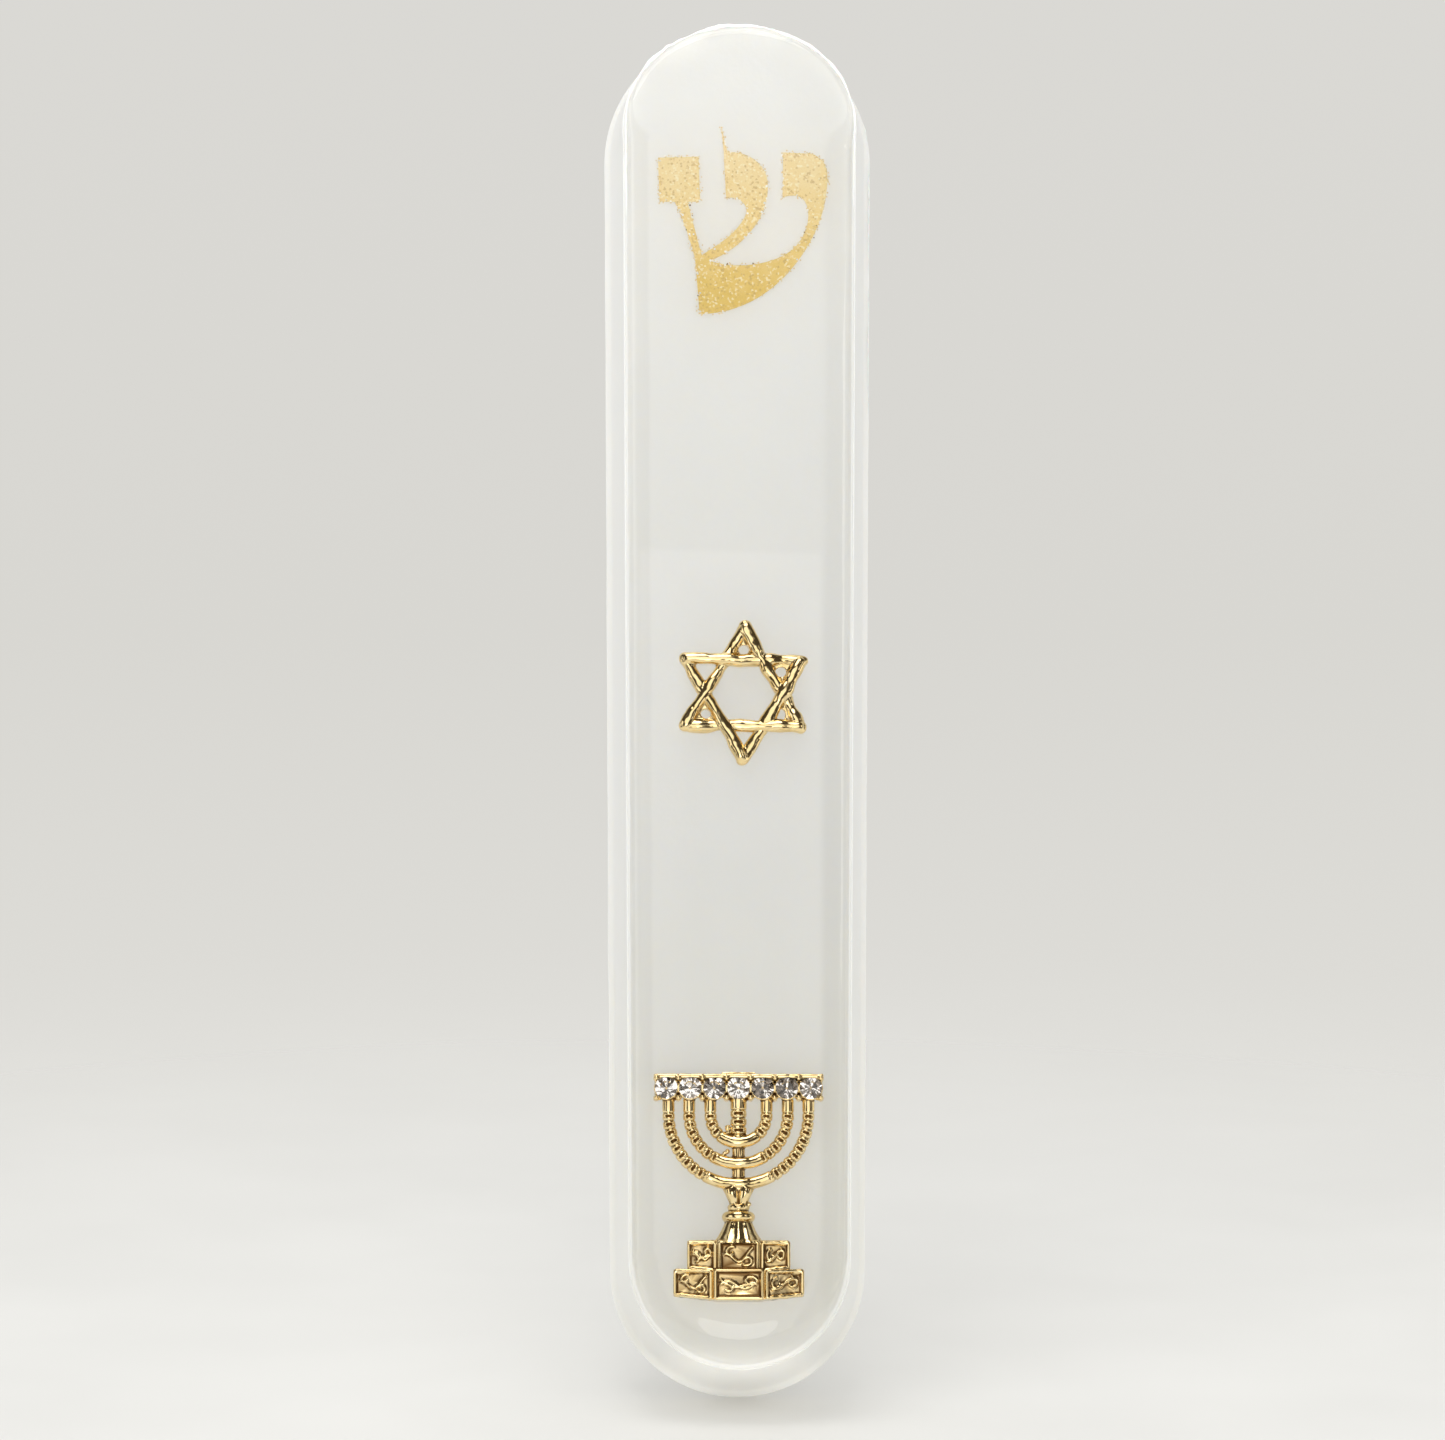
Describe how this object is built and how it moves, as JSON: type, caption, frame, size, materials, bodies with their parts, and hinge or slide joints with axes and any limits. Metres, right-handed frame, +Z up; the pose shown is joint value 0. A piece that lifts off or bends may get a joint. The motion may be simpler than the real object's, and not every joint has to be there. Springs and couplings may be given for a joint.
{
  "type": "mezuzah case",
  "caption": "Slim round-ended resin doorpost case with a rear scroll compartment, drop-in cover, star and seven-branched lamp charms and stones.",
  "frame": {"origin": "on the doorpost's surface, in the middle of the upper tape pad's outer face, 36 mm above the middle of the case", "axes": "+Z up along the case, +Y from the case into the doorpost, so the front faces -Y; +X to the viewer's right"},
  "size_m": [0.0244, 0.0174, 0.126],
  "materials": {
    "milky_resin": "cast, milky white, glossy",
    "clear_resin": "poured, clear, high gloss",
    "glitter_foil": "pale gold glitter",
    "gold_plate": "polished gold plate on a casting",
    "crystal": "cut and foiled back",
    "cover_resin": "smooth moulded plate",
    "parchment": "matt, slightly mottled",
    "film": "clear film",
    "foam_tape": "closed-cell white foam, adhesive faces"
  },
  "bodies": {
    "case": {"case_body": "milky_resin", "clear_front_coat": "clear_resin", "shin_inlay": "glitter_foil", "star_charm": "gold_plate", "menorah_charm": "gold_plate", "crystal_1": "crystal", "crystal_2": "crystal", "crystal_3": "crystal", "crystal_4": "crystal", "crystal_5": "crystal", "crystal_6": "crystal", "crystal_7": "crystal", "upper_tape_pad": "foam_tape", "lower_tape_pad": "foam_tape"},
    "cover": {"rear_cover": "cover_resin"},
    "scroll": {"parchment_scroll": "parchment", "scroll_sleeve": "film"}
  },
  "joints": [
    {"name": "cover_lift", "type": "slide", "parent": "case", "child": "cover", "axis": [0, 1, 0], "range_m": [0, 0.032]},
    {"name": "scroll_lift", "type": "slide", "parent": "case", "child": "scroll", "axis": [0, 1, 0], "range_m": [0, 0.016]}
  ],
  "couplings": [
    {"joint": "scroll_lift", "follows": "cover_lift", "ratio": 0.5}
  ]
}
